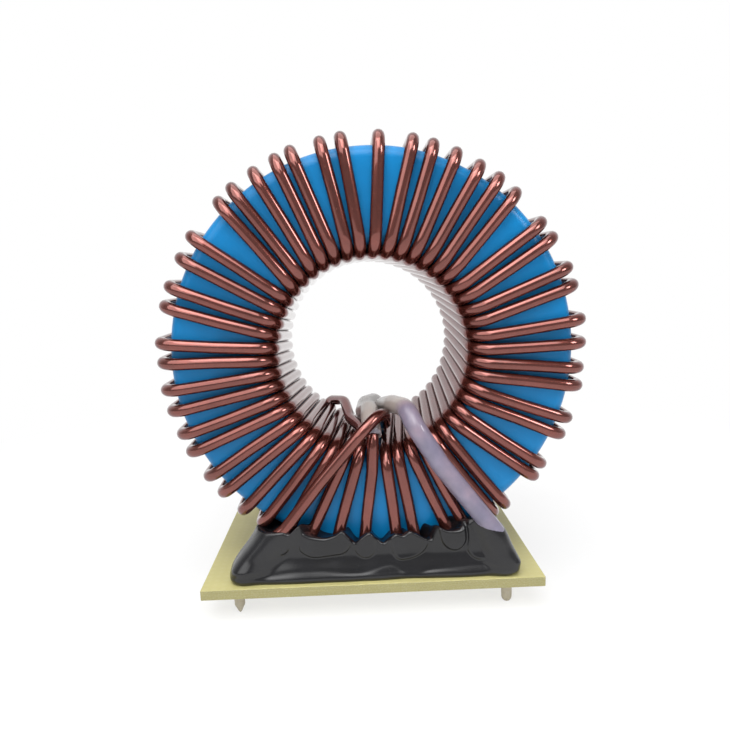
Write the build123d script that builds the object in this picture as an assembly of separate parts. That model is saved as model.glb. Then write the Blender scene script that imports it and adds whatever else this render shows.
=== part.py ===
"""Toroidal power inductor: a blue ring wound with two strands, glued upright to a small board on four pins."""
import math
import os

from build123d import *

# Coated ring core, its axis along Y
CORE_OD = 62.0
CORE_BORE_D = 32.6
CORE_LENGTH = 25.0
CORE_EDGE_R = 2.0

# Base board and the pins below it
BOARD_WIDTH = 52.5
BOARD_T = 1.6
BOARD_MARGIN = 3.6
PIN_INSET = 5.25
PIN_OUTSET = 2.5
PIN_D = 1.7
PIN_LENGTH = 3.8

# Insulating sleeve on a lead
SLEEVE_WALL = 0.4
SLEEVE_PLAY = 0.12

# Glue, how high it holds the coil, and how far right of the board's middle
GLUE_BED = 0.8
GLUE_HEIGHT = 8.6
COIL_X = 1.1

# Clearances between pieces, and how far a cut runs past a face
FIT = 0.05
HOLE_CLEARANCE = 0.12
OUTER_SLACK = 0.5
OVERRUN = 1.0

# Where each front pass of wire meets the outer edge, in degrees clockwise from the top as seen from the front.
# The passes lie in loose pairs there, and side by side in the bore.
OUTER_DEG = (
    3, 12, 17.5, 24, 31, 37, 43, 53.5, 58.5, 67.5,
    72.5, 82, 88.5, 95.5, 100.5, 110, 115, 125, 129, 140.5,
    144.5, 153.5, 158.5, 169, 174.5, 184.5, 193, 201, 208, 215,
    221.5, 229, 235, 243.5, 249, 256, 262, 269.5, 275, 285,
    290.5, 298.5, 305, 316.5, 321.5, 328.5, 335, 339.5, 347.5, 353,
)
PASSES = len(OUTER_DEG)
STRANDS = 2
SLOT_DEG = 360 / PASSES
FIRST_SLOT_DEG = 2.4
BORE_LEAN_DEG = 10
FIRST_PASS = (24, 23)
LAST_PASS = (26, 25)

# The wire is as thick as lets every pass lie side by side in the bore
PACKING_SHARE = 0.99
HALF_SLOT_SINE = math.sin(math.pi / PASSES)
WIRE_D = PACKING_SHARE * (CORE_BORE_D - 2 * FIT) * HALF_SLOT_SINE / (1 + HALF_SLOT_SINE)
WIRE_SIDES = 8
STRAIGHT_DEG = 1.5
SLEEVE_BORE_D = WIRE_D + 2 * SLEEVE_PLAY
SLEEVE_OD = SLEEVE_BORE_D + 2 * SLEEVE_WALL

# Radii and depths that the wire runs on, measured to its middle
BORE_R = CORE_BORE_D / 2 - WIRE_D / 2 - FIT
RIM_R = CORE_OD / 2 + WIRE_D / 2 + OUTER_SLACK
FACE_Y = CORE_LENGTH / 2 + WIRE_D / 2 + FIT
BEND = (2 - math.sqrt(2)) * (CORE_EDGE_R + WIRE_D / 2)
WOUND_R = RIM_R + WIRE_D / 2
WOUND_Y = FACE_Y + WIRE_D / 2
BARE_Y = WOUND_Y + WIRE_D / 2 + FIT
SLEEVED_Y = WOUND_Y + SLEEVE_OD / 2 + FIT
COIL_Z = BOARD_T + GLUE_BED + WOUND_R
BOARD_DEPTH = 2 * (WOUND_Y + BOARD_MARGIN)

# The pins stand in from the board's ends and out from the core's faces
PIN_PITCH_X = BOARD_WIDTH - 2 * PIN_INSET
PIN_PITCH_Y = CORE_LENGTH + 2 * PIN_OUTSET
LEFT, RIGHT = -1, 1
FRONT, REAR = -1, 1

# Lead routes from the board to the coil, then from the coil to the board. Each place is a share of the bore
# layer's radius, an angle in degrees and a share of the depth at which that lead lies over the turns.
START_A_SHARES = (
    (1.95, 209, -1), (1.37, 205, -1), (0.75, 191, -1), (0.60, 178, -0.88),
    (0.64, 171, -0.70), (0.82, 171, -0.39), (0.88, 178.5, 0), (1, 182, 0.39),
)
START_B_SHARES = (
    (2.14, 147, -1), (1.25, 150, -1), (0.79, 151, -1), (0.62, 150, -0.82),
    (0.60, 161, -0.50), (0.72, 170, 0.06), (0.93, 174, 0.56),
)
END_A_SHARES = (
    (0.85, 188, -0.45), (0.87, 197, -0.02), (0.80, 203.5, 0.50), (0.945, 211.5, 0.91),
    (1.06, 212.5, 0.985), (1.20, 213, 1), (1.60, 214, 1), (2.00, 214, 1),
)
END_B_SHARES = (
    (0.83, 182, -0.83), (0.69, 184, -0.63), (0.64, 184, -0.41), (0.76, 187.5, -0.03), (0.76, 185, 0.38),
    (0.81, 176.5, 0.76), (0.97, 170, 1), (1.25, 161, 1), (1.68, 152.5, 1), (2.14, 147, 1),
)
LEAD_RISE_SHARE = 0.25
SLEEVE_FOOT_SHARE = 0.4
SLEEVE_MOUTH_SHARE = 0.1

# Glue outline: its length as a share of the board's, its rim as a share of the board's margin
GLUE_LENGTH_SHARES = (0.88, 0.84, 0.72)
GLUE_RIM_SHARES = (0.86, 0.72, 0.42)
GLUE_LEVEL_SHARES = (0, 0.45, 1)
GLUE_CORNER_SHARE = 0.04
SADDLE_SIDES = 36

EDGE_EASE_SHARE = 0.6
PIN_TIP_SHARE = 0.22
PIN_TIP_R_SHARE = 0.4


def ring_point(radius, degrees, y):
    """A point at this radius about the coil's axis, clockwise from the top as seen from the front."""
    turn = math.radians(degrees)
    return Vector(COIL_X + radius * math.sin(turn), y, COIL_Z + radius * math.cos(turn))


def slot_deg(index):
    """The angle of a pass's place at the front of the bore."""
    return FIRST_SLOT_DEG + SLOT_DEG * index


def face_in(index):
    """The points of one pass across the front, from the outer run to the bore's edge."""
    rim_deg = OUTER_DEG[index % PASSES]
    return [
        ring_point(RIM_R, rim_deg, BEND - FACE_Y),
        ring_point(RIM_R - BEND, rim_deg, -FACE_Y),
        ring_point(BORE_R + BEND, slot_deg(index), -FACE_Y),
    ]


def face_out(index):
    """The points from the bore across the back to the outer run that leads to the pass of this index."""
    rim_deg = OUTER_DEG[index % PASSES]
    bore_deg = slot_deg(index + STRANDS) - BORE_LEAN_DEG
    return [
        ring_point(BORE_R, bore_deg, FACE_Y - BEND),
        ring_point(BORE_R + BEND, bore_deg, FACE_Y),
        ring_point(RIM_R - BEND, rim_deg, FACE_Y),
        ring_point(RIM_R, rim_deg, FACE_Y - BEND),
    ]


def bore_mouth(index):
    """The point where a pass straightens out in the front of the bore."""
    return ring_point(BORE_R, slot_deg(index), BEND - FACE_Y)


def strand_turns(strand):
    """The points of all turns of one strand, wound anticlockwise from the foot of the ring round to it again."""
    points = []
    index = FIRST_PASS[strand]
    for turn in range(PASSES // STRANDS):
        points += face_out(index) + face_in(index)
        if index % PASSES != LAST_PASS[strand]:
            points.append(bore_mouth(index))
        index -= STRANDS
    return points


def lead_places(shares, over_y):
    """The points of one lead's route over the turns and through the bore."""
    return [ring_point(BORE_R * reach, degrees, over_y * depth) for reach, degrees, depth in shares]


def board_end(side_x, side_y):
    """The two points of a lead at its pin: at the board's underside and where it leaves straight upward."""
    foot = Vector(side_x * PIN_PITCH_X / 2, side_y * PIN_PITCH_Y / 2, 0)
    return [foot, foot + Vector(0, 0, BOARD_T + GLUE_HEIGHT * LEAD_RISE_SHARE)]


def rod(points, diameter, sides=WIRE_SIDES):
    """A straight-sided rod along points, mitred at each one where it turns."""
    corners = [
        here for last, here, following in zip(points, points[1:], points[2:])
        if (here - last).get_angle(following - here) > STRAIGHT_DEG
    ]
    path = Polyline(points[0], *corners, points[-1])
    start = Plane(origin=points[0], z_dir=points[1] - points[0])
    return sweep(start * RegularPolygon(diameter / 2, sides), path=path, transition=Transition.RIGHT)


def between(first, second, share):
    """The point this share of the way from first to second."""
    return first + (second - first) * share


# Core: a section turned about the Y axis, its bore edges eased in one flat and its outer edges in three
ease = CORE_EDGE_R * EDGE_EASE_SHARE
core_section = Pos((CORE_OD + CORE_BORE_D) / 4, 0) * Rectangle((CORE_OD - CORE_BORE_D) / 2, CORE_LENGTH)
core_section = chamfer(core_section.vertices(), ease)
core_section = chamfer(core_section.vertices().sort_by(Axis.X)[-4:], ease / 2)
core = Pos(COIL_X, 0, COIL_Z) * revolve(core_section, axis=Axis.Y)

# Strands: lead in, turns, lead out, each one continuous wire
start_a = board_end(LEFT, FRONT) + lead_places(START_A_SHARES, BARE_Y)
start_b = board_end(RIGHT, FRONT) + lead_places(START_B_SHARES, SLEEVED_Y)
end_a = lead_places(END_A_SHARES, BARE_Y) + board_end(LEFT, REAR)[::-1]
end_b = lead_places(END_B_SHARES, SLEEVED_Y) + board_end(RIGHT, REAR)[::-1]
strand_a = rod(start_a + strand_turns(0) + [bore_mouth(LAST_PASS[0])] + end_a, WIRE_D)
strand_b = rod(start_b + strand_turns(1) + end_b, WIRE_D)

# Sleeves: tubes round the second strand's leads, from inside the glue into the bore
front_run = [between(start_b[1], start_b[2], SLEEVE_FOOT_SHARE)] + start_b[2:-1]
rear_run = [between(end_b[0], end_b[1], SLEEVE_MOUTH_SHARE)] + end_b[1:-2]
rear_run.append(between(end_b[-2], end_b[-3], SLEEVE_FOOT_SHARE))
sleeve_front = rod(front_run, SLEEVE_OD) - rod(front_run, SLEEVE_BORE_D)
sleeve_rear = rod(rear_run, SLEEVE_OD) - rod(rear_run, SLEEVE_BORE_D)

# Base board with a hole for each lead
pin_places = GridLocations(PIN_PITCH_X, PIN_PITCH_Y, 2, 2)
board = Pos(0, 0, BOARD_T / 2) * Box(BOARD_WIDTH, BOARD_DEPTH, BOARD_T)
board -= pin_places * Cylinder(WIRE_D / 2 + HOLE_CLEARANCE, 2 * (BOARD_T + OVERRUN))

# Glue: a mound on the board, with a saddle for the wound ring and a channel for each lead
mound_sections = []
for level, length, rim in zip(GLUE_LEVEL_SHARES, GLUE_LENGTH_SHARES, GLUE_RIM_SHARES):
    outline = Rectangle(BOARD_WIDTH * length, 2 * (WOUND_Y + BOARD_MARGIN * rim))
    outline = chamfer(outline.vertices(), BOARD_WIDTH * GLUE_CORNER_SHARE)
    mound_sections.append(Pos(0, 0, BOARD_T + GLUE_HEIGHT * level) * outline)
mound = loft(mound_sections, ruled=True)
saddle_face = Plane.XZ * RegularPolygon(WOUND_R, SADDLE_SIDES, major_radius=False)
saddle = Pos(COIL_X, 0, COIL_Z) * extrude(saddle_face, WOUND_Y, both=True)
glue = mound - chamfer(saddle.edges().filter_by(Axis.Y, reverse=True), BEND)
corner_share = 1 / math.cos(math.pi / WIRE_SIDES)
for lead in (start_a[:4], start_b[:4], end_a[-4:], end_b[-4:]):
    glue -= rod(lead, (WIRE_D + FIT) * corner_share)
for run in (front_run, rear_run):
    glue -= rod(run, (SLEEVE_OD + FIT) * corner_share)

# Pins: the tinned ends of the four leads
pin_tip = PIN_LENGTH * PIN_TIP_SHARE
pin_shank = Pos(0, 0, (pin_tip - PIN_LENGTH) / 2) * Cylinder(PIN_D / 2, PIN_LENGTH - pin_tip)
pin_point = Pos(0, 0, pin_tip / 2 - PIN_LENGTH) * Cone(PIN_D / 2 * PIN_TIP_R_SHARE, PIN_D / 2, pin_tip)
pin = pin_shank + pin_point
pins = {
    f"pin_{depth}_{side}": Pos(side_x * PIN_PITCH_X / 2, side_y * PIN_PITCH_Y / 2) * pin
    for depth, side_y in (("front", FRONT), ("rear", REAR))
    for side, side_x in (("left", LEFT), ("right", RIGHT))
}

nodes = {
    "core": core,
    "strand_a": strand_a,
    "strand_b": strand_b,
    "sleeve_front": sleeve_front,
    "sleeve_rear": sleeve_rear,
    "base_board": board,
    "glue": glue,
    **pins,
}
os.makedirs("parts", exist_ok=True)
for name, solid in nodes.items():
    export_step(solid, f"parts/{name}.step")
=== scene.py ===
"""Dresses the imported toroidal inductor: wound ring, sleeved leads, glue, board, pins and a plain stage."""

import math
import random

import bmesh
import bpy
from bpy.props import FloatProperty, FloatVectorProperty, IntProperty, PointerProperty
from bpy.types import Operator, Panel, PropertyGroup
from mathutils import Matrix, Vector, noise


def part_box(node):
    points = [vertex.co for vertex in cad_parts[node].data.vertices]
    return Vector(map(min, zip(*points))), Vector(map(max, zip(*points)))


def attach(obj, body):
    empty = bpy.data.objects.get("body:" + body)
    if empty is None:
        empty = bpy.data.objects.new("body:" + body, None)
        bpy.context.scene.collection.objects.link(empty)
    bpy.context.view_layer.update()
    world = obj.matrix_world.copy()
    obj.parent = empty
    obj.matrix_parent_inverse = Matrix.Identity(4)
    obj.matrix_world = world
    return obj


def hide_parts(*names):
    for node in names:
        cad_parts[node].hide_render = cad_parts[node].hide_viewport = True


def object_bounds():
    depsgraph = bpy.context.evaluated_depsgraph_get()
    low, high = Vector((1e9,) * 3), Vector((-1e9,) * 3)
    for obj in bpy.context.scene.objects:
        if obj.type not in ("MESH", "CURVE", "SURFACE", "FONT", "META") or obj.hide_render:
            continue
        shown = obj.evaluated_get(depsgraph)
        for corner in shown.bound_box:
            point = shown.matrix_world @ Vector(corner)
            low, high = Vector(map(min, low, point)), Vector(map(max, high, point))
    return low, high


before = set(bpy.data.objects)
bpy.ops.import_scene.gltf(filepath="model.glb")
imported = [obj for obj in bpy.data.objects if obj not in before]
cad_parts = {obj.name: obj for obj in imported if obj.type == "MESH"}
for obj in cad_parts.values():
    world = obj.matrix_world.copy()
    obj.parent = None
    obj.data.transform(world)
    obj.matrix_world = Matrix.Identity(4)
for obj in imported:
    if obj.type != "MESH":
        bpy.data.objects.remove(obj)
CAD_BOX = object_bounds()

bl_info = {
    "name": "Toroidal inductor",
    "version": (1, 0, 0),
    "blender": (4, 5, 0),
    "location": "3D View > Sidebar > Inductor",
    "description": "Builds the visible pieces of a wound ring inductor on a small board",
    "category": "Add Mesh",
}

MM = 0.001
TINY = 0.01 * MM
BOARD_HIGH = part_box("base_board")[1]
CORE_LOW, CORE_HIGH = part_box("core")
PIN_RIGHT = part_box("pin_rear_right")

# Where each front pass of wire meets the outer edge, in degrees clockwise from the top, seen from the front
OUTER_DEG = (
    3, 12, 17.5, 24, 31, 37, 43, 53.5, 58.5, 67.5,
    72.5, 82, 88.5, 95.5, 100.5, 110, 115, 125, 129, 140.5,
    144.5, 153.5, 158.5, 169, 174.5, 184.5, 193, 201, 208, 215,
    221.5, 229, 235, 243.5, 249, 256, 262, 269.5, 275, 285,
    290.5, 298.5, 305, 316.5, 321.5, 328.5, 335, 339.5, 347.5, 353,
)
PASSES = len(OUTER_DEG)
STRANDS = 2
SLOT_DEG = 360 / PASSES
FIRST_SLOT_DEG = 2.4
BORE_LEAN_DEG = 10
FIRST_PASS = (24, 23)
LAST_PASS = (26, 25)

# Lead routes: share of the bore layer's radius, degrees, share of the depth of leads over the turns
START_A = (
    (1.95, 209, -1), (1.37, 205, -1), (0.75, 191, -1), (0.60, 178, -0.88),
    (0.64, 171, -0.70), (0.82, 171, -0.39), (0.88, 178.5, 0), (1, 182, 0.39),
)
START_B = (
    (2.14, 147, -1), (1.25, 150, -1), (0.79, 151, -1), (0.62, 150, -0.82),
    (0.60, 161, -0.50), (0.72, 170, 0.06), (0.93, 174, 0.56),
)
END_A = (
    (0.85, 188, -0.45), (0.87, 197, -0.02), (0.80, 203.5, 0.50), (0.945, 211.5, 0.91),
    (1.06, 212.5, 0.985), (1.20, 213, 1), (1.60, 214, 1), (2.00, 214, 1),
)
END_B = (
    (0.83, 182, -0.83), (0.69, 184, -0.63), (0.64, 184, -0.41), (0.76, 187.5, -0.03), (0.76, 185, 0.38),
    (0.81, 176.5, 0.76), (0.97, 170, 1), (1.25, 161, 1), (1.68, 152.5, 1), (2.14, 147, 1),
)

# Chance differences between turns, in millimetres: pull inward at the rim, and sway across a face
RIM_PULL = (0.07, 0.2)
SWAY = 0.12

# Bends of the turns: chance shares of the set radius, and the wide bend in the middle of a pass
BEND_SHARES = (0.95, 1.2)
SWAY_BEND = 40 * MM

# Runs of wire: the least bend that is rounded, and the share of a straight run that a bend may take
LEAST_BEND = math.radians(0.4)
BEND_ROOM = 0.47

# Sleeves: faces round each, and the shares of the way from corner to corner at which they end
SLEEVE_SIDES = 24
SLEEVE_FOOT = 0.4
SLEEVE_INNER_END = 0.1

# Ring: how finely it and its edges are divided, its coat's waves in millimetres and in cells a metre
RING_STEPS = 180
EDGE_STEPS = 8
COAT_WAVE = 0.04
COAT_PACE = 90

# Board: points that are one, edges that are flat or sharp, and how the outer ones are eased
MERGE = 0.001 * MM
FLAT = math.radians(2)
SHARP = math.radians(60)
BOARD_EASE = 0.14 * MM
BOARD_EASE_STEPS = 3

# Pins: how finely each is divided, and the share of its length that the shape is worked out over
PIN_SIDES = 24
PIN_STEPS = 24
PIN_REACH = 0.999

# Their tips: share of the length, how much narrower the end is, and where a point turns blunt
POINTED_TIP = 0.36
ROUND_TIP = 0.22
POINT_TAPER = 0.8
ROUND_TAPER = 0.96
BLUNT_TAPER = 0.9
BLUNT_FROM = 0.75

# Their lumps of solder: share of the radius, pace round the pin and along it
LUMP = 0.045
LUMP_PACE = 0.9
LUMP_STRETCH = 4

# Glue, in millimetres. Its foot: half length, half depth, corner, and how far its middle lies to the right
GLUE_LENGTH = 22.4
GLUE_DEPTH = 17.05
GLUE_CORNER = 3.0
GLUE_SHIFT = 0.2

# Its left end: how deep the hollow is, and the share of the lean that the rear corner loses
LEFT_HOLLOW = 2.4
REAR_UPRIGHT = 0.6

# Its faces: from where they level out, how much further they may reach, and how far tabs leave a corner bare
FACE_LIMIT = 17.5
FACE_ROOM = 0.53
CORNER_BARE = 0.3

# How finely it is divided along a face, an end, a corner and a wall, and the rings inside its rim
FACE_STEPS = 230
END_STEPS = 150
CORNER_STEPS = 20
WALL_STEPS = 44
INNER_SHARES = (0.75, 0.4, 0.05)

# Its chance waves: height, cells a millimetre and layer of the noise, for walls, skin and tabs' edges
WANDER, WANDER_PACE, WANDER_LAYER = 0.35, 0.16, 3
RIPPLE, RIPPLE_PACE, RIPPLE_LAYER = 0.05, 0.3, 7
STRAY, STRAY_PACE, STRAY_LAYERS = 0.7, 0.28, (2.3, 14.6)
REAR_LAYER = 6

# Its walls: height over the board, and how far out from the foot
FACE_WALL = (
    (0, -0.1), (0.3, 0.1), (0.8, 0.1), (1.3, -0.15), (2.0, -0.45), (3.0, -0.9), (3.8, -1.15),
    (5.5, -1.3), (9, -1.6),
)
LEFT_WALL = (
    (0, 0.1), (0.3, 0.2), (1.0, 0.15), (2.0, -0.15), (3.0, -0.75), (4.0, -1.5), (5.5, -2.7), (7, -3.7),
    (8, -4.2), (9, -4.8),
)
RIGHT_WALL = ((0, 0.2), (0.4, 0.4), (1.0, 0.4), (1.9, 0.1), (4.3, -1.1), (6.7, -2.2), (9, -3.6))

# Its upper edge: place across, height over the board
FRONT_TOP = (
    (-24, 7.4), (-17.5, 7.8), (-15.6, 7.5), (-13.6, 8.5), (-12.3, 7.2), (-8.6, 6.3), (-6.4, 6.7),
    (-5.1, 7.3), (-4, 6.3), (-3, 5.4), (-1.9, 6.2), (-0.6, 6.9), (0.5, 5.9), (1.6, 5.1), (2.6, 5.9),
    (3.6, 6.5), (4.8, 6.2), (6, 6.8), (7.6, 6.1), (9.4, 5.4), (10.1, 6.5), (10.9, 7.4), (12.2, 6.9),
    (14.6, 6.9), (15.9, 7.4), (17.6, 8.2), (19, 8.5), (20.3, 8.2), (22, 7.2), (24, 6.4),
)
REAR_TOP = (
    (-24, 7.2), (-17.2, 7.6), (-13.5, 8.3), (-11, 6.6), (-8.2, 7), (-6, 5.6), (-3.5, 6.9), (-1.6, 5.4),
    (0.8, 6.8), (3, 6), (5.5, 7.1), (8, 5.6), (10.5, 7), (13, 6.3), (15.5, 7.4), (17.4, 8.1), (19, 8.5),
    (20.3, 8.2), (22, 7.2), (24, 6.4),
)

# Tabs of skin over its foot: left and right end, lower end, how far each stands out, the width of its edge
FRONT_TABS = (
    (-19.6, -11.9, 4.0, 0.55, 1.0), (-11.5, -2.9, 3.7, 0.34, 0.55), (-2.8, 0.9, 3.3, 0.34, 0.55),
    (2.2, 9.0, 2.9, 0.38, 0.55), (10.2, 14.4, 3.8, 0.45, 0.55), (14.3, 20.0, 2.3, 0.45, 0.7),
)
REAR_TABS = (
    (-19.4, -12.1, 3.8, 0.55, 1.0), (-11.6, -5.9, 3.9, 0.34, 0.55), (-5.2, -0.8, 3.1, 0.34, 0.55),
    (0.7, 7.3, 3.7, 0.38, 0.55), (8.2, 13.9, 3.2, 0.34, 0.55), (14.3, 20.0, 2.6, 0.45, 0.7),
)
TAB_CORNER = 2.4

# Ridges over the leads: two ends across and over the board, how far each stands out and its half width
FRONT_RIDGES = ((-21.0, 1.2, -13.4, 8.2, 1.2, 3.6), (21.0, 1.6, 18.6, 8.4, 2.3, 4.2))
REAR_RIDGES = ((-21.0, 1.2, -17.6, 8.2, 1.5, 3.6), (21.0, 1.6, 18.6, 8.4, 2.3, 4.2))

# The share of a ridge that is there at the board, and what each millimetre upward adds to it
RIDGE_FOOT = 0.15
RIDGE_GROWTH = 0.4

# The bead along its foot: place across, height over the board
BEAD = (
    (-24, 0.9), (-16, 0.9), (-12, 1.4), (-7.4, 1.4), (-2, 1.0), (2.8, 1.9), (5.5, 0.5), (9.5, 1.1),
    (16, 1.5), (24, 1.0),
)

# The bead's edge and how far it stands out, the crease's depth, and its width as a share of the edge
BEAD_EDGE = 0.7
BEAD_RISE = 0.07
CREASE_DEPTH = 0.035
CREASE_WIDTH = 0.4

# From the wall's upper edge inward: how far in, how far down
RIM = (
    (0.08, -0.14), (0.26, -0.26), (0.55, -0.3), (0.9, -0.22), (1.25, -0.02), (1.6, 0.2), (2.1, 0.38),
    (3.2, 0.5),
)

# Second colours of the finishes
SCUFF = (0.36, 0.19, 0.15, 1)
SPECK = (0.06, 0.30, 0.58, 1)
ROSY = (0.32, 0.24, 0.295, 1)
# Pale beige painted on the sleeves in the bore: a painted reflection of the white backdrop
PAINTED_REFLECTION_BEIGE = (0.50, 0.44, 0.38, 1)
WEAVE = (0.62, 0.59, 0.32, 1)
FIBRE_ENDS = (0.42, 0.40, 0.28, 1)
DUST = (0.06, 0.06, 0.06, 1)
TARNISH = (0.33, 0.28, 0.19, 1)
WHITE = (1, 1, 1, 1)

# Depth from the ring's middle beyond which the sleeves keep their lilac, and within which a painted
# reflection covers them
LILAC_DEPTH = 14.2 * MM
PAINTED_REFLECTION_DEPTH = 12.4 * MM

# Paper, in metres: half width of both sheets, the backdrop's depth, and where the floor's glow rises
PAPER_HALF = 0.9
BACKDROP_Y = 0.75
GLOW_FROM = 50 * MM
GLOW_FULL = 150 * MM

# The share of the glow that the floor has at the object
FLOOR_GLOW = 0.72

# Lamps, in metres: what each is called, its place and its size, and where all of them aim
LAMPS = (
    ("key", (-0.26, -0.30, 0.44), 0.62), ("fill", (0.38, -0.26, 0.30), 0.16),
    ("front", (0.02, -0.36, 0.62), 0.50), ("top", (-0.04, 0.02, 0.55), 0.46),
)
LAMP_AIM = (0, 0, 0.035)

# Camera: film width in millimetres, focal length and picture width in pixels, and its clip range in metres
FILM_WIDTH = 36
FOCAL_PX = 600
PICTURE_PX = 730
CLIP_RANGE = (0.002, 20)


class InductorSizes(PropertyGroup):
    """Sizes that the pieces are made from"""

    core_od: FloatProperty(
        name="Ring outside", description="Outside diameter of the coated ring", unit="LENGTH",
        default=CORE_HIGH.x - CORE_LOW.x, precision=4)
    core_bore: FloatProperty(
        name="Ring bore", description="Bore diameter of the coated ring", unit="LENGTH",
        default=32.6 * MM, precision=4)
    core_length: FloatProperty(
        name="Ring length", description="Length of the ring along its axis", unit="LENGTH",
        default=CORE_HIGH.y - CORE_LOW.y, precision=4)
    core_edge: FloatProperty(
        name="Ring edge", description="Radius of the ring's edges", unit="LENGTH",
        default=2.0 * MM, precision=4)
    wire_d: FloatProperty(
        name="Wire", description="Diameter of the enamelled wire", unit="LENGTH",
        default=1.901 * MM, precision=5)
    fit: FloatProperty(
        name="Fit", description="Room between wire and ring", unit="LENGTH", default=0.05 * MM, precision=5)
    outer_slack: FloatProperty(
        name="Outer slack", description="How far the turns stand off the ring's outside", unit="LENGTH",
        default=0.5 * MM, precision=5)
    sleeve_bore: FloatProperty(
        name="Sleeve bore", description="Bore of the insulating sleeve", unit="LENGTH",
        default=2.14 * MM, precision=5)
    sleeve_od: FloatProperty(
        name="Sleeve outside", description="Outside diameter of the insulating sleeve", unit="LENGTH",
        default=2.94 * MM, precision=5)
    lead_rise: FloatProperty(
        name="Lead rise", description="How far a lead runs straight up from the board", unit="LENGTH",
        default=2.15 * MM, precision=5)
    lead_bend: FloatProperty(
        name="Lead bend", description="Radius of the bends in the leads", unit="LENGTH",
        default=3.4 * MM, precision=5)
    wire_sides: IntProperty(name="Wire sides", description="Faces round the wire", default=16, min=6)
    seed: IntProperty(name="Seed", description="Start of everything that varies by chance", default=7)


class InductorColours(PropertyGroup):
    """Colours of the finishes"""

    enamel: FloatVectorProperty(
        name="Enamel", description="Wire enamel", subtype="COLOR", size=4, default=(0.220, 0.060, 0.046, 1))
    epoxy: FloatVectorProperty(
        name="Ring coat", description="Coat on the ring", subtype="COLOR", size=4,
        default=(0.002, 0.22, 0.54, 1))
    sleeve: FloatVectorProperty(
        name="Sleeve", description="Milky sleeve", subtype="COLOR", size=4, default=(0.26, 0.24, 0.345, 1))
    laminate: FloatVectorProperty(
        name="Laminate", description="Face of the board", subtype="COLOR", size=4,
        default=(0.52, 0.475, 0.195, 1))
    glue: FloatVectorProperty(
        name="Glue", description="Black potting glue", subtype="COLOR", size=4,
        default=(0.0065, 0.0065, 0.008, 1))
    tin: FloatVectorProperty(
        name="Tin", description="Tinned wire ends", subtype="COLOR", size=4, default=(0.45, 0.41, 0.32, 1))
    paper: FloatVectorProperty(
        name="Paper", description="Floor and backdrop", subtype="COLOR", size=4, default=(0.9, 0.9, 0.9, 1))


class InductorStage(PropertyGroup):
    """Camera and light"""

    eye: FloatVectorProperty(
        name="Camera place", description="Where the camera stands", subtype="TRANSLATION", unit="LENGTH",
        default=(-2.33 * MM, -102.76 * MM, 48.30 * MM), precision=5)
    yaw: FloatProperty(
        name="Camera yaw", description="How far the camera turns to the right", subtype="ANGLE",
        default=math.radians(1.34))
    pitch: FloatProperty(
        name="Camera pitch", description="How far the camera looks down", subtype="ANGLE",
        default=math.radians(8.80))
    roll: FloatProperty(
        name="Camera roll", description="Turn about the line of sight", subtype="ANGLE",
        default=math.radians(-1.76))
    lens: FloatProperty(
        name="Lens", description="Focal length", unit="CAMERA", default=FOCAL_PX / PICTURE_PX * FILM_WIDTH)
    room: FloatProperty(
        name="Room light", description="Strength of the even room light", default=0.34)
    key: FloatProperty(
        name="Key light", description="Power of the large front lamp", unit="POWER", default=2.45)
    fill: FloatProperty(
        name="Fill light", description="Power of the side lamp", unit="POWER", default=0.78)
    front: FloatProperty(
        name="Front light", description="Power of the wide lamp over the camera", unit="POWER", default=2.2)
    top: FloatProperty(
        name="Top light", description="Power of the overhead lamp", unit="POWER", default=1.0)


class Value:
    """A shader socket on which Python's operators add Math nodes."""

    def __init__(self, finish, socket):
        self.finish = finish
        self.socket = socket

    def maths(self, operation, first, second):
        return self.finish.add("ShaderNodeMath", {"operation": operation}, {0: first, 1: second})

    def __add__(self, other):
        return self.maths("ADD", self, other)

    def __radd__(self, other):
        return self.maths("ADD", other, self)

    def __rsub__(self, other):
        return self.maths("SUBTRACT", other, self)

    def __mul__(self, other):
        return self.maths("MULTIPLY", self, other)


class Shader:
    """One tree of shader nodes."""

    def __init__(self, tree):
        self.tree = tree
        self.tree.nodes.clear()

    def add(self, kind, settings=None, sockets=None, out=0):
        """A node of this kind with its settings, then the values or links of its sockets."""
        node = self.tree.nodes.new(kind)
        for key, value in (settings or {}).items():
            setattr(node, key, value)
        for key, value in (sockets or {}).items():
            self.feed(node.inputs[key], value)
        return node if out is None else Value(self, node.outputs[out])

    def feed(self, socket, value):
        """Sets or links one socket."""
        if isinstance(value, Value):
            self.tree.links.new(value.socket, socket)
        else:
            socket.default_value = value

    def spread(self, value, low, high, to_low=0.0, to_high=1.0):
        """Value moved from one range to another and held in it."""
        return self.add(
            "ShaderNodeMapRange", {"clamp": True},
            {"Value": value, "From Min": low, "From Max": high, "To Min": to_low, "To Max": to_high})


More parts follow.
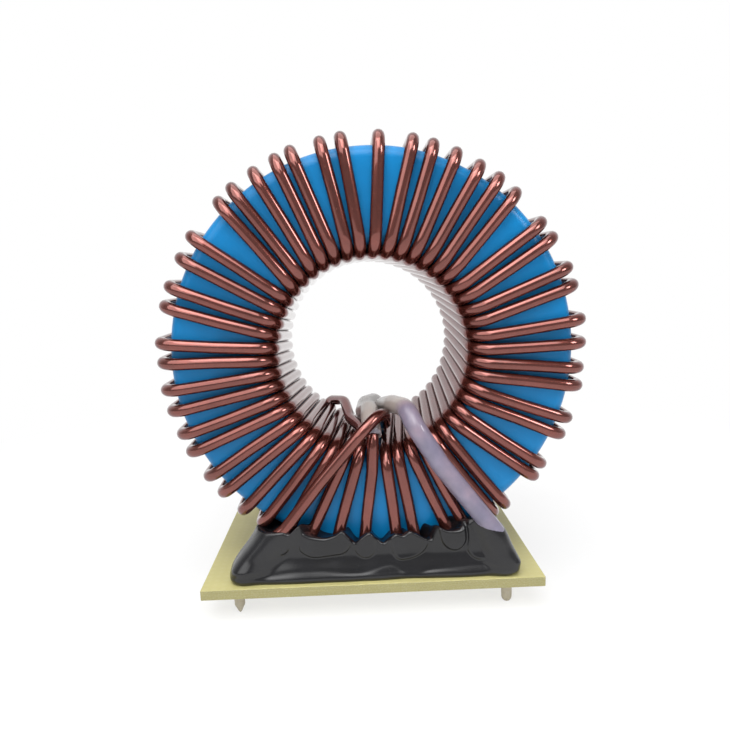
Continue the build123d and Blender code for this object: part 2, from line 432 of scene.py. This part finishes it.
class Finish(Shader):
    """One material's nodes, ending in a Principled shader."""

    def __init__(self, name, **constants):
        self.material = bpy.data.materials.new(name)
        self.material.use_nodes = True
        super().__init__(self.material.node_tree)
        self.shader = self.add("ShaderNodeBsdfPrincipled", out=None)
        self.surface = Value(self, self.shader.outputs[0])
        self.output = self.add("ShaderNodeOutputMaterial", None, {"Surface": self.surface}, out=None)
        self.place = self.add("ShaderNodeTexCoord", out="Object")
        self.set(**constants)

    def set(self, **sockets):
        """Sets or links sockets of the shader, named in lower case with underscores."""
        for name, value in sockets.items():
            self.feed(self.shader.inputs[name.replace("_", " ").title().replace("Ior", "IOR")], value)

    def grain(self, scale, detail=3, rough=0.5, place=None, warp=0):
        """Noise from 0 to 1, its cells about one over scale metres across."""
        return self.add("ShaderNodeTexNoise", None, {
            "Vector": place or self.place, "Scale": scale, "Detail": detail, "Roughness": rough,
            "Distortion": warp})

    def bands(self, axis, scale, warp, detail, detail_scale):
        """Wavy stripes across one axis."""
        return self.add("ShaderNodeTexWave", {"wave_type": "BANDS", "bands_direction": axis}, {
            "Vector": self.place, "Scale": scale, "Distortion": warp, "Detail": detail,
            "Detail Scale": detail_scale})

    def blend(self, factor, first, second):
        """One colour going over into another."""
        return self.add("ShaderNodeMix", {"data_type": "RGBA"}, {0: factor, 6: first, 7: second}, out=2)

    def stretch(self, x, y, z):
        """The object's own coordinates, scaled along each axis."""
        return self.add("ShaderNodeVectorMath", {"operation": "MULTIPLY"}, {0: self.place, 1: (x, y, z)})

    def relief(self, height, strength, depth):
        """Bump from a height that varies from 0 to 1, its depth in metres."""
        sockets = {"Strength": strength, "Distance": depth, "Height": height}
        self.set(normal=self.add("ShaderNodeBump", None, sockets))


def shade(colour, factor):
    """A colour made lighter or darker."""
    return tuple(min(1.0, part * factor) for part in colour[:3]) + (1.0,)


def enamel_finish(colours):
    """Enamel over copper: red brown, glossy, with scuffs and a slow change of tone along the wire."""
    finish = Finish(
        "wire_enamel", coat_roughness=0.06, coat_ior=1.5, metallic=0.85, specular_ior_level=0.2,
        specular_tint=(0.35, 0.22, 0.22, 1))
    tone = finish.spread(finish.grain(140, 3, 0.55), 0.3, 0.7)
    mottle = finish.grain(1100, 4, 0.6)
    scuff = finish.spread(finish.grain(2600, 5, 0.65, warp=0.4), 0.60, 0.72)
    base = finish.blend(tone, shade(colours.enamel, 0.78), shade(colours.enamel, 1.12))
    base = finish.blend(finish.spread(mottle, 0.35, 0.75) * 0.35, base, shade(colours.enamel, 0.6))
    base = finish.blend(scuff * 0.18, base, SCUFF)
    finish.set(
        base_color=base, roughness=0.14 + mottle * 0.07 + scuff * 0.12, coat_weight=1.0 - scuff * 0.4)
    finish.relief(mottle * 0.6 + scuff * 0.4, 0.1, 0.03 * MM)
    return finish.material


def epoxy_finish(colours):
    """Sprayed and baked ring coat: blue, satin, faintly wavy, with fine specks."""
    finish = Finish("ring_epoxy", specular_ior_level=0.28)
    wave = finish.grain(120, 2, 0.5)
    peel = finish.grain(900, 3, 0.5)
    speck = finish.spread(finish.grain(5200, 2, 0.5), 0.70, 0.78)
    base = finish.blend(finish.spread(wave, 0.3, 0.7), shade(colours.epoxy, 0.9), shade(colours.epoxy, 1.1))
    base = finish.blend(speck * 0.16, base, SPECK)
    finish.set(base_color=base, roughness=0.27 + peel * 0.12)
    finish.relief(wave * 0.5 + peel * 0.5, 0.2, 0.10 * MM)
    return finish.material


def sleeve_finish(colours):
    """Milky plastic tubing: cloudy, lilac on the ring's faces, with a painted pale reflection of the
    backdrop in the bore, partly see-through.
    """
    finish = Finish("milky_sleeve", ior=1.45, coat_weight=0.7, coat_roughness=0.1)
    depth = finish.add("ShaderNodeSeparateXYZ", None, {0: finish.place}, out="Y")
    # Mask of the painted reflection: nothing on the ring's faces, full in the bore
    reflection_mask = finish.spread(depth * depth, LILAC_DEPTH ** 2, PAINTED_REFLECTION_DEPTH ** 2)
    cloud = finish.grain(320, 3, 0.55)
    streak = finish.grain(1500, 3, 0.6)
    blush = finish.spread(finish.grain(150, 2, 0.5), 0.35, 0.65)
    tint = finish.blend(blush, colours.sleeve, ROSY)
    base = finish.blend(finish.spread(cloud, 0.3, 0.7), shade(colours.sleeve, 0.8), tint)
    # Painted reflection: pale beige laid over the sleeve's colour in the bore
    base = finish.blend(reflection_mask * 0.8, base, PAINTED_REFLECTION_BEIGE)
    finish.set(base_color=base, roughness=0.24 + streak * 0.16, alpha=0.70 + cloud * 0.2)
    finish.relief(streak, 0.2, 0.05 * MM)
    return finish.material


def laminate_finish(colours):
    """Glass-fibre board: a smooth resin face with a faint weave, and a paler sawn edge with fibre ends."""
    finish = Finish("glass_laminate", coat_roughness=0.25)
    facing = finish.add("ShaderNodeNewGeometry", out="Normal")
    upright = finish.add("ShaderNodeSeparateXYZ", None, {0: facing}, out="Z")
    face = finish.spread(upright * upright, 0.3, 0.6)
    weave = finish.bands("X", 240, 1.2, 2, 2) * finish.bands("Y", 240, 1.2, 2, 2)
    cloud = finish.spread(finish.grain(90, 3, 0.5), 0.3, 0.7)
    fibre = finish.grain(3600, 4, 0.7, finish.stretch(1, 1, 1.6))
    ends = finish.spread(fibre, 0.46, 0.62)
    plies = finish.bands("Z", 720, 1.5, 3, 1.5)
    top = finish.blend(cloud, shade(colours.laminate, 0.92), shade(colours.laminate, 1.08))
    top = finish.blend(weave * 0.16, top, WEAVE)
    sawn = finish.blend(ends * 0.55, shade(colours.laminate, 0.62), FIBRE_ENDS)
    sawn = finish.blend(plies * 0.16, sawn, shade(colours.laminate, 0.48))
    finish.set(
        base_color=finish.blend(face, sawn, top),
        roughness=0.78 - face * 0.36 + fibre * 0.08,
        coat_weight=face * 0.25)
    finish.relief(weave * face * 0.35 + ends * (1 - face), 0.5, 0.06 * MM)
    return finish.material


def glue_finish(colours):
    """Black potting glue: smooth glossy skin with slow waves, dull patches and a little dust."""
    finish = Finish("black_glue", specular_ior_level=0.58)
    wave = finish.grain(200, 2, 0.5)
    skin = finish.grain(1400, 4, 0.55)
    dust = finish.spread(finish.grain(4200, 3, 0.6), 0.68, 0.75)
    base = finish.blend(finish.spread(wave, 0.35, 0.7), shade(colours.glue, 0.8), shade(colours.glue, 1.3))
    base = finish.blend(dust * 0.15, base, DUST)
    finish.set(base_color=base, roughness=0.21 + skin * 0.08 + dust * 0.2)
    finish.relief(wave * 0.7 + skin * 0.3, 0.12, 0.05 * MM)
    return finish.material


def tin_finish(colours):
    """Dipped solder: dull silver with a warm cast, streaked along the dip."""
    finish = Finish("dipped_tin", metallic=0.85)
    streak = finish.grain(1800, 4, 0.6, finish.stretch(1, 1, 0.3))
    stain = finish.spread(finish.grain(700, 3, 0.55), 0.42, 0.68)
    base = finish.blend(streak, shade(colours.tin, 0.82), shade(colours.tin, 1.15))
    base = finish.blend(stain * 0.45, base, TARNISH)
    finish.set(base_color=base, roughness=0.30 + streak * 0.22)
    finish.relief(streak, 0.4, 0.06 * MM)
    return finish.material


def paper_finish(colours, near, name):
    """White paper that takes a shadow and looks white to the camera and in reflections."""
    finish = Finish(name, roughness=0.9)
    kinds = ("Camera", "Glossy", "Transmission")
    rays = [finish.add("ShaderNodeLightPath", out=f"Is {kind} Ray") for kind in kinds]
    away = finish.add("ShaderNodeVectorMath", {"operation": "LENGTH"}, {0: finish.place}, out="Value")
    glow = finish.spread(away, GLOW_FROM, GLOW_FULL, near, 1)
    seen = finish.spread(rays[0] + rays[1] + rays[2], 0, 1)
    tooth = finish.grain(900, 3, 0.5)
    finish.set(base_color=finish.blend(tooth, shade(colours.paper, 0.985), shade(colours.paper, 1.01)))
    white = finish.add("ShaderNodeEmission")
    mixed = finish.add("ShaderNodeMixShader", None, {0: seen * glow, 1: finish.surface, 2: white})
    finish.feed(finish.output.inputs["Surface"], mixed)
    return finish.material


class Coil:
    """The radii and depths that the wire runs on, to its middle, and the routes along them."""

    def __init__(self, sizes):
        half = sizes.wire_d / 2
        self.sizes = sizes
        self.middle = (CORE_LOW + CORE_HIGH) / 2
        self.bore_r = sizes.core_bore / 2 - half - sizes.fit
        self.rim_r = sizes.core_od / 2 + half + sizes.outer_slack
        self.face_y = sizes.core_length / 2 + half + sizes.fit
        self.bend = sizes.core_edge + half
        over = self.face_y + half + sizes.fit
        self.bare_y = over + half
        self.sleeved_y = over + sizes.sleeve_od / 2

    def at(self, radius, degrees, y):
        """A point about the ring's axis, clockwise from the top as seen from the front."""
        turn = math.radians(degrees)
        return self.middle + Vector((radius * math.sin(turn), y, radius * math.cos(turn)))

    def slot_deg(self, index):
        """The angle of a pass's place at the front of the bore."""
        return FIRST_SLOT_DEG + SLOT_DEG * index

    def lead(self, shares, over_y, looseness=1):
        """The corners of one lead over the turns and through the bore."""
        bend = self.sizes.lead_bend * looseness
        return [(self.at(self.bore_r * reach, deg, over_y * depth), bend) for reach, deg, depth in shares]

    def foot(self, side_x, side_y):
        """The two corners of a lead at its pin."""
        x = (PIN_RIGHT[0].x + PIN_RIGHT[1].x) / 2
        y = (PIN_RIGHT[0].y + PIN_RIGHT[1].y) / 2
        low = Vector((side_x * x, side_y * y, 0))
        high = low + Vector((0, 0, BOARD_HIGH.z + self.sizes.lead_rise))
        return [(low, 0), (high, self.sizes.lead_bend)]

    def turns(self, strand, chance):
        """The corners of every turn of one strand, each a little slacker or tighter than the last."""
        corners = []
        index = FIRST_PASS[strand]
        for _ in range(PASSES // STRANDS):
            rim_deg = OUTER_DEG[index % PASSES]
            bore_deg = self.slot_deg(index + STRANDS) - BORE_LEAN_DEG
            rim = self.rim_r - chance.uniform(*RIM_PULL) * MM
            bends = [self.bend * chance.uniform(*BEND_SHARES) for _ in range(4)]
            last = index % PASSES == LAST_PASS[strand]
            bore = self.bore_r + self.bend if last and strand == 1 else self.bore_r
            back = [self.at(self.bore_r, bore_deg, self.face_y), self.at(rim, rim_deg, self.face_y)]
            front = [self.at(rim, rim_deg, -self.face_y), self.at(bore, self.slot_deg(index), -self.face_y)]
            corners += [(back[0], bends[0]), (self.sway(*back, chance), SWAY_BEND), (back[1], bends[1])]
            corners += [(front[0], bends[2]), (self.sway(*front, chance), SWAY_BEND), (front[1], bends[3])]
            index -= STRANDS
        return corners

    def sway(self, first, second, chance):
        """The middle of a pass across a face, a little to one side of the straight line."""
        across = (second - first).cross(Vector((0, 1, 0))).normalized()
        return first.lerp(second, 0.5) + across * chance.uniform(-SWAY, SWAY) * MM

    def routes(self):
        """Points along both strands from the front pin round the ring to the rear, and under the sleeves."""
        chance = random.Random(self.sizes.seed)
        starts = [
            self.foot(-1, -1) + self.lead(START_A, self.bare_y),
            self.foot(1, -1) + self.lead(START_B, self.sleeved_y),
        ]
        ends = [
            self.lead(END_A, self.bare_y, looseness=2) + self.foot(-1, 1)[::-1],
            self.lead(END_B, self.sleeved_y) + self.foot(1, 1)[::-1],
        ]
        strands = [rounded(starts[i] + self.turns(i, chance) + ends[i]) for i in range(STRANDS)]
        start, end = [corner for corner, _ in starts[1]], [corner for corner, _ in ends[1]]
        sleeves = [
            cut_run(strands[1], start[1].lerp(start[2], SLEEVE_FOOT), start[-2]),
            cut_run(strands[1], end[0].lerp(end[1], SLEEVE_INNER_END), end[-2].lerp(end[-3], SLEEVE_FOOT)),
        ]
        return strands, sleeves


def rounded(corners, arc_deg=10, run=2.2 * MM):
    """Points along straight runs and the arcs that join them."""
    points = [corners[0][0]]

    def go_to(target):
        start = points[-1].copy()
        count = max(1, round((target - start).length / run))
        points.extend(start.lerp(target, step / count) for step in range(1, count + 1))

    for (last, _), (here, bend), (following, _) in zip(corners, corners[1:], corners[2:]):
        into, out = (here - last).normalized(), (following - here).normalized()
        angle = into.angle(out)
        if angle < LEAST_BEND:
            go_to(here)
            continue
        room = BEND_ROOM * min((here - last).length, (following - here).length)
        tangent = min(bend * math.tan(angle / 2), room)
        radius = tangent / math.tan(angle / 2)
        inward = (out - into * math.cos(angle)).normalized()
        start = here - into * tangent
        middle = start + inward * radius
        go_to(start)
        count = max(2, round(math.degrees(angle) / arc_deg))
        for step in range(1, count + 1):
            turn = angle * step / count
            points.append(middle + (into * math.sin(turn) - inward * math.cos(turn)) * radius)
    go_to(corners[-1][0])
    return points


def cut_run(points, first, last):
    """The part of a run of points between those nearest to two places."""
    nearest = [min(range(len(points)), key=lambda i: (points[i] - place).length) for place in (first, last)]
    return points[nearest[0]:nearest[1] + 1]


def along(points):
    """A place and two sideways directions at each point of a run, turning as little as they can."""
    places = []
    side = None
    for i, point in enumerate(points):
        ahead = (points[min(i + 1, len(points) - 1)] - points[max(i - 1, 0)]).normalized()
        side = (ahead.orthogonal() if side is None else side - ahead * side.dot(ahead)).normalized()
        places.append((point, side, ahead.cross(side)))
    return places


def rings(points, radius, sides):
    """Rings of points at a radius about a run."""
    turns = [2 * math.pi * k / sides for k in range(sides)]
    return [[p + (a * math.cos(t) + b * math.sin(t)) * radius for t in turns] for p, a, b in along(points)]


def skin(loops, closed):
    """Quads between rings that follow one another, with a face on each end unless the ends join."""
    size, last = len(loops[0]), len(loops) - 1
    pairs = [(i, i + 1) for i in range(last)] + ([(last, 0)] if closed else [])
    quads = [
        (i * size + k, i * size + (k + 1) % size, j * size + (k + 1) % size, j * size + k)
        for i, j in pairs for k in range(size)]
    ends = [] if closed else [tuple(range(i * size, i * size + size)) for i in (0, last)]
    return quads + ends


def make_piece(name, loops, finish, slot, *nodes, closed=False):
    """A smooth mesh over rings of points that rides on the part and stands for its solids."""
    mesh = bpy.data.meshes.new(name)
    mesh.from_pydata([tuple(point) for loop in loops for point in loop], [], skin(loops, closed))
    mesh.update()
    work = bmesh.new()
    work.from_mesh(mesh)
    bmesh.ops.recalc_face_normals(work, faces=work.faces)
    work.to_mesh(mesh)
    work.free()
    mesh.polygons.foreach_set("use_smooth", [len(p.vertices) < 5 for p in mesh.polygons])
    place_piece(bpy.data.objects.new(name, mesh), finish, slot, *nodes)


def place_piece(piece, finish, slot, *nodes):
    """Links a piece, gives it its finish and ties it to the frame."""
    bpy.context.scene.collection.objects.link(piece)
    piece.data.materials.clear()
    piece.data.materials.append(finish)
    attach(piece, "root")
    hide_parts(*nodes)


class INDUCTOR_OT_ring(Operator):
    """Make the coated ring"""

    bl_idname = "inductor.ring"
    bl_label = "Make Ring"

    def execute(self, context):
        sizes, colours = context.scene.inductor_sizes, context.scene.inductor_colours
        middle = (CORE_LOW + CORE_HIGH) / 2
        mean, half = (sizes.core_od + sizes.core_bore) / 4, (sizes.core_od - sizes.core_bore) / 4
        depth, edge = sizes.core_length / 2, sizes.core_edge
        section = []
        for quarter, (side, end) in enumerate(((1, 1), (-1, 1), (-1, -1), (1, -1))):
            at = Vector(((half - edge) * side, (depth - edge) * end))
            for step in range(EDGE_STEPS + 1):
                turn = math.pi / 2 * (quarter + step / EDGE_STEPS)
                section.append(at + Vector((math.cos(turn), math.sin(turn))) * edge)
        loops = []
        for k in range(RING_STEPS):
            turn = 2 * math.pi * k / RING_STEPS
            loop = []
            for across, y in section:
                place = Vector(((mean + across) * math.sin(turn), y, (mean + across) * math.cos(turn)))
                swell = noise.noise(place * COAT_PACE) * COAT_WAVE * MM
                out = Vector((across / half * math.sin(turn), y / depth, across / half * math.cos(turn)))
                loop.append(place + out * (swell - COAT_WAVE * MM) + middle)
            loops.append(loop)
        make_piece("ring_core", loops, epoxy_finish(colours), "core_coat", "core", closed=True)
        return {"FINISHED"}


class INDUCTOR_OT_strands(Operator):
    """Wind both strands round the ring"""

    bl_idname = "inductor.strands"
    bl_label = "Wind Strands"

    def execute(self, context):
        sizes, colours = context.scene.inductor_sizes, context.scene.inductor_colours
        finish = enamel_finish(colours)
        strands, _ = Coil(sizes).routes()
        for letter, run in zip("ab", strands):
            loops = rings(run, sizes.wire_d / 2, sizes.wire_sides)
            make_piece(f"wound_strand_{letter}", loops, finish, "wire_enamel", f"strand_{letter}")
        return {"FINISHED"}


class INDUCTOR_OT_sleeves(Operator):
    """Slip the milky sleeves over the second strand's leads"""

    bl_idname = "inductor.sleeves"
    bl_label = "Make Sleeves"

    def execute(self, context):
        sizes, colours = context.scene.inductor_sizes, context.scene.inductor_colours
        finish = sleeve_finish(colours)
        _, sleeves = Coil(sizes).routes()
        for side, run in zip(("front", "rear"), sleeves):
            outside = rings(run, sizes.sleeve_od / 2, SLEEVE_SIDES)
            inside = rings(run, sizes.sleeve_bore / 2, SLEEVE_SIDES)
            loops = outside + inside[::-1]
            make_piece(f"milky_sleeve_{side}", loops, finish, "sleeve", f"sleeve_{side}", closed=True)
        return {"FINISHED"}


class INDUCTOR_OT_board(Operator):
    """Dress the base board"""

    bl_idname = "inductor.board"
    bl_label = "Make Board"

    def rank(self, face, count):
        """A number from a face's corners, which puts the faces in the same order in each run."""
        corners = sorted(corner.index for corner in face.verts)
        return sum(corner * count ** place for place, corner in enumerate(corners))

    def execute(self, context):
        colours = context.scene.inductor_colours
        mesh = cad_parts["base_board"].data.copy()
        work = bmesh.new()
        work.from_mesh(mesh)
        bmesh.ops.remove_doubles(work, verts=work.verts, dist=MERGE)
        bmesh.ops.dissolve_limit(work, angle_limit=FLAT, verts=work.verts, edges=work.edges)
        sharp = [
            edge for edge in work.edges
            if len(edge.link_faces) == 2 and edge.calc_face_angle() > SHARP
            and max(abs(v.co.x) for v in edge.verts) > BOARD_HIGH.x - TINY]
        bmesh.ops.bevel(
            work, geom=sharp, offset=BOARD_EASE, segments=BOARD_EASE_STEPS, profile=0.5, affect="EDGES")
        bmesh.ops.triangulate(work, faces=work.faces)
        work.verts.index_update()
        work.faces.sort(key=lambda face: self.rank(face, len(work.verts)))
        work.to_mesh(mesh)
        work.free()
        mesh.name = "base_panel"
        panel = bpy.data.objects.new("base_panel", mesh)
        place_piece(panel, laminate_finish(colours), "board", "base_board")
        return {"FINISHED"}


def held(share):
    """A share kept between 0 and 1."""
    return max(0.0, min(1.0, share))


def ease(share):
    """A share kept between 0 and 1 that starts and ends gently."""
    share = held(share)
    return share * share * (3 - 2 * share)


class INDUCTOR_OT_glue(Operator):
    """Pour the black glue round the foot of the coil"""

    bl_idname = "inductor.glue"
    bl_label = "Pour Glue"

    def curve(self, table, value):
        """A table's value at a place, on a smooth curve through its rows."""
        last = len(table) - 1
        i = next((k for k in range(last - 1) if value <= table[k + 1][0]), last - 1)
        before, first, second, after = (table[min(max(k, 0), last)] for k in range(i - 1, i + 3))
        width = second[0] - first[0]
        share = held((value - first[0]) / width)
        leave = (second[1] - before[1]) / (second[0] - before[0]) * width
        arrive = (after[1] - first[1]) / (after[0] - first[0]) * width
        rise = second[1] - first[1]
        bow = 3 * rise - 2 * leave - arrive
        return first[1] + share * (leave + share * (bow + share * (leave + arrive - 2 * rise)))

    def outline(self):
        """Places round a rounded rectangle: how far to each side, as shares, and the direction outward."""
        corners = ((1, -1), (1, 1), (-1, 1), (-1, -1))
        for quarter, (last, here) in enumerate(zip(corners[-1:] + corners, corners)):
            count = FACE_STEPS if quarter % 2 == 0 else END_STEPS
            turn = math.pi / 2 * (quarter - 1)
            for k in range(count):
                share = k / count
                across = [a + (b - a) * share for a, b in zip(last, here)]
                yield (*across, math.cos(turn), math.sin(turn))
            for k in range(CORNER_STEPS):
                bend = turn + math.pi / 2 * k / CORNER_STEPS
                yield (*here, math.cos(bend), math.sin(bend))

    def swell(self, x, z, front):
        """How far the tabs, the ridges and the bead stand out at a place on a long wall."""
        layers = [layer if front else layer + REAR_LAYER for layer in STRAY_LAYERS]
        u, v = (
            value + STRAY * noise.noise(Vector((x * STRAY_PACE, z * STRAY_PACE, layer)))
            for value, layer in zip((x, z), layers))
        most = 0.0
        for left, right, low, height, edge in FRONT_TABS if front else REAR_TABS:
            corner = min(TAB_CORNER, (right - left) / 2)
            across = abs(u - (left + right) / 2) - (right - left) / 2 + corner
            below = low - v + corner
            gap = math.hypot(max(across, 0), max(below, 0)) + min(max(across, below), 0) - corner
            most = max(most, height * ease(-gap / edge))
        for x0, z0, x1, z1, height, half in FRONT_RIDGES if front else REAR_RIDGES:
            share = ((x - x0) * (x1 - x0) + (z - z0) * (z1 - z0)) / ((x1 - x0) ** 2 + (z1 - z0) ** 2)
            share = held(share)
            away = math.hypot(x - x0 - (x1 - x0) * share, z - z0 - (z1 - z0) * share) / half
            if away < 1:
                grown = min(1.0, RIDGE_FOOT + RIDGE_GROWTH * z)
                most = max(most, height * (1 - away * away) ** 2 * grown)
        under = (self.curve(BEAD, x if front else -x) - z) / BEAD_EDGE + 0.5
        return most + BEAD_RISE * ease(under) - CREASE_DEPTH * math.exp(-(under / CREASE_WIDTH) ** 2)

    def place(self, spot, share, inward, down):
        """One point of the glue: on its wall at a share of the height there, or inside its upper edge."""
        side_x, side_y, out_x, out_y = spot
        far = (GLUE_LENGTH - GLUE_CORNER) * side_x + GLUE_CORNER * out_x
        deep = (GLUE_DEPTH - GLUE_CORNER) * side_y + GLUE_CORNER * out_y
        front, rear = self.curve(FRONT_TOP, far), self.curve(REAR_TOP, far)
        z = (front + (rear - front) * (0.5 + 0.5 * side_y)) * share
        wander = WANDER * noise.noise(Vector((far * WANDER_PACE, deep * WANDER_PACE, WANDER_LAYER)))
        end = self.curve(RIGHT_WALL if side_x > 0 else LEFT_WALL, z) * abs(side_x)
        if side_x < 0:
            end *= 1 - REAR_UPRIGHT * max(0.0, side_y) ** 2
        hollow = LEFT_HOLLOW * max(0.0, -side_x) * (1 - side_y * side_y)
        half_x = GLUE_LENGTH + end + wander - hollow - inward
        half_y = GLUE_DEPTH + self.curve(FACE_WALL, z) + wander - inward
        x = (half_x - GLUE_CORNER) * side_x + GLUE_CORNER * out_x + GLUE_SHIFT
        y = (half_y - GLUE_CORNER) * side_y + GLUE_CORNER * out_y
        ripple = noise.noise(Vector((x * RIPPLE_PACE, y * RIPPLE_PACE, z * RIPPLE_PACE + RIPPLE_LAYER)))
        facing = ease(abs(out_y) * (1 + CORNER_BARE) - CORNER_BARE)
        rise = facing * self.swell(x, z, side_y < 0) + RIPPLE * ripple
        y += out_y * rise
        over = max(0.0, abs(y) - FACE_LIMIT)
        reach = min(abs(y), FACE_LIMIT) + FACE_ROOM * (1 - math.exp(-over / FACE_ROOM))
        point = Vector((x + out_x * rise, math.copysign(reach, y), max(0.0, z - down)))
        return point * MM + Vector((0, 0, BOARD_HIGH.z))

    def execute(self, context):
        colours = context.scene.inductor_colours
        spots = list(self.outline())
        steps = [(level / WALL_STEPS, 0, 0) for level in range(WALL_STEPS + 1)]
        steps += [(1, inward, down) for inward, down in RIM]
        loops = [[self.place(spot, *step) for spot in spots] for step in steps]
        inmost = loops[-1]
        loops += [[Vector((p.x * share, p.y * share, p.z)) for p in inmost] for share in INNER_SHARES]
        make_piece("glue_mound", loops, glue_finish(colours), "glue", "glue")
        return {"FINISHED"}


class INDUCTOR_OT_pins(Operator):
    """Make the tinned wire ends below the board"""

    bl_idname = "inductor.pins"
    bl_label = "Make Pins"

    def taper(self, into, pointed):
        """A pin's width at a share of the way into its tip, as a share of its full width."""
        if not pointed:
            return math.sqrt(max(0.0, 1 - into * into * ROUND_TAPER))
        blunt = max(0.0, (into - BLUNT_FROM) / (1 - BLUNT_FROM))
        return (1 - into * POINT_TAPER) * math.sqrt(max(0.0, 1 - blunt ** 2 * BLUNT_TAPER))

    def loops(self, low, high, pointed, shift):
        """Rings of points down one pin, from the board to its tip."""
        middle, radius, length = (low + high) / 2, (high.x - low.x) / 2, high.z - low.z
        tip = POINTED_TIP if pointed else ROUND_TIP
        loops = []
        for i in range(PIN_STEPS + 1):
            down = PIN_REACH * i / PIN_STEPS
            taper = self.taper(max(0.0, (down - 1 + tip) / tip), pointed)
            z = low.z if i == PIN_STEPS else high.z - length * down
            loop = []
            for k in range(PIN_SIDES):
                turn = 2 * math.pi * k / PIN_SIDES
                out = Vector((math.cos(turn), math.sin(turn), 0))
                lump = noise.noise(out * LUMP_PACE + Vector((0, 0, down * LUMP_STRETCH + shift)))
                swell = 1 - LUMP + LUMP * lump
                loop.append(Vector((middle.x, middle.y, z)) + out * radius * taper * swell)
            loops.append(loop)
        return loops

    def execute(self, context):
        sizes, colours = context.scene.inductor_sizes, context.scene.inductor_colours
        chance = random.Random(sizes.seed + 2)
        finish = tin_finish(colours)
        for corner in ("front_left", "front_right", "rear_left", "rear_right"):
            low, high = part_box(f"pin_{corner}")
            loops = self.loops(low, high, corner.endswith("left"), chance.uniform(0, 100))
            make_piece(f"tinned_end_{corner}", loops, finish, "tinned_end", f"pin_{corner}")
        return {"FINISHED"}


class INDUCTOR_OT_stage(Operator):
    """Set up the floor, the backdrop, the lamps and the camera"""

    bl_idname = "inductor.stage"
    bl_label = "Set Up Stage"

    def sheet(self, context, name, corners, finish):
        """A flat sheet of paper that isn't part of the object."""
        mesh = bpy.data.meshes.new(name)
        mesh.from_pydata(corners, [], [(0, 1, 2, 3)])
        piece = bpy.data.objects.new(name, mesh)
        context.scene.collection.objects.link(piece)
        mesh.materials.append(finish)

    def lamp(self, context, name, place, size, power):
        """A large square lamp turned to the object."""
        light = bpy.data.lights.new(name, "AREA")
        light.size, light.energy = size, power
        lamp = bpy.data.objects.new(name, light)
        lamp.location = place
        lamp.rotation_euler = (Vector(LAMP_AIM) - Vector(place)).to_track_quat("-Z", "Y").to_euler()
        context.scene.collection.objects.link(lamp)

    def room(self, context, strength):
        """A room that is white to the camera and, in reflections, behind the object."""
        world = bpy.data.worlds.new("studio_room")
        world.use_nodes = True
        room = Shader(world.node_tree)
        rays = [room.add("ShaderNodeLightPath", out=f"Is {ray} Ray") for ray in ("Camera", "Glossy")]
        toward = room.add("ShaderNodeTexCoord", out="Generated")
        behind = room.spread(room.add("ShaderNodeSeparateXYZ", None, {0: toward}, out="Y"), 0.1, 0.6)
        even, white = (
            room.add("ShaderNodeBackground", None, {"Color": WHITE, "Strength": level})
            for level in (strength, 1.0))
        seen = room.spread(rays[0] + rays[1] * behind, 0, 1)
        mixed = room.add("ShaderNodeMixShader", None, {0: seen, 1: even, 2: white})
        room.add("ShaderNodeOutputWorld", None, {"Surface": mixed}, out=None)
        context.scene.world = world

    def execute(self, context):
        stage, colours = context.scene.inductor_stage, context.scene.inductor_colours
        floor, wide, far = CAD_BOX[0].z - TINY, PAPER_HALF, BACKDROP_Y
        self.sheet(
            context, "floor",
            [(-wide, -wide, floor), (wide, -wide, floor), (wide, wide, floor), (-wide, wide, floor)],
            paper_finish(colours, FLOOR_GLOW, "floor_paper"))
        self.sheet(
            context, "backdrop",
            [(-wide, far, floor), (wide, far, floor), (wide, far, wide), (-wide, far, wide)],
            paper_finish(colours, 1.0, "backdrop_paper"))
        self.room(context, stage.room)
        for name, place, size in LAMPS:
            self.lamp(context, f"{name}_lamp", place, size, getattr(stage, name))

        level = math.cos(stage.pitch)
        sight = Vector((math.sin(stage.yaw) * level, math.cos(stage.yaw) * level, -math.sin(stage.pitch)))
        right = Vector((math.cos(stage.yaw), -math.sin(stage.yaw), 0))
        up = right.cross(sight)
        turned = right * math.cos(stage.roll) + up * math.sin(stage.roll)
        upright = up * math.cos(stage.roll) - right * math.sin(stage.roll)
        lens = bpy.data.cameras.new("photo_camera")
        lens.lens, lens.sensor_width = stage.lens, FILM_WIDTH
        lens.clip_start, lens.clip_end = CLIP_RANGE
        camera = bpy.data.objects.new("photo_camera", lens)
        turn = Matrix((turned, upright, -sight)).transposed()
        camera.matrix_world = Matrix.Translation(stage.eye) @ turn.to_4x4()
        context.scene.collection.objects.link(camera)
        context.scene.camera = camera
        context.scene.view_settings.view_transform = "Standard"
        return {"FINISHED"}


STEPS = (
    INDUCTOR_OT_stage, INDUCTOR_OT_ring, INDUCTOR_OT_strands, INDUCTOR_OT_sleeves,
    INDUCTOR_OT_board, INDUCTOR_OT_glue, INDUCTOR_OT_pins,
)


class INDUCTOR_PT_maker(Panel):
    """The pieces of the inductor, in the order in which they are made"""

    bl_idname = "INDUCTOR_PT_maker"
    bl_label = "Inductor"
    bl_space_type = "VIEW_3D"
    bl_region_type = "UI"
    bl_category = "Inductor"

    def draw(self, context):
        for group in GROUPS:
            column = self.layout.column()
            values = getattr(context.scene, group)
            for name in values.__annotations__:
                column.prop(values, name)
        for step in STEPS:
            self.layout.operator(step.bl_idname)


GROUPS = {
    "inductor_sizes": InductorSizes, "inductor_colours": InductorColours, "inductor_stage": InductorStage,
}
CLASSES = (*GROUPS.values(), *STEPS, INDUCTOR_PT_maker)


def register():
    for cls in CLASSES:
        bpy.utils.register_class(cls)
    for name, group in GROUPS.items():
        setattr(bpy.types.Scene, name, PointerProperty(type=group))


def unregister():
    for name in GROUPS:
        delattr(bpy.types.Scene, name)
    for cls in reversed(CLASSES):
        bpy.utils.unregister_class(cls)


def main():
    register()
    bpy.ops.inductor.stage()
    bpy.ops.inductor.ring()
    bpy.ops.inductor.strands()
    bpy.ops.inductor.sleeves()
    bpy.ops.inductor.board()
    bpy.ops.inductor.glue()
    bpy.ops.inductor.pins()


if __name__ == "__main__":
    main()
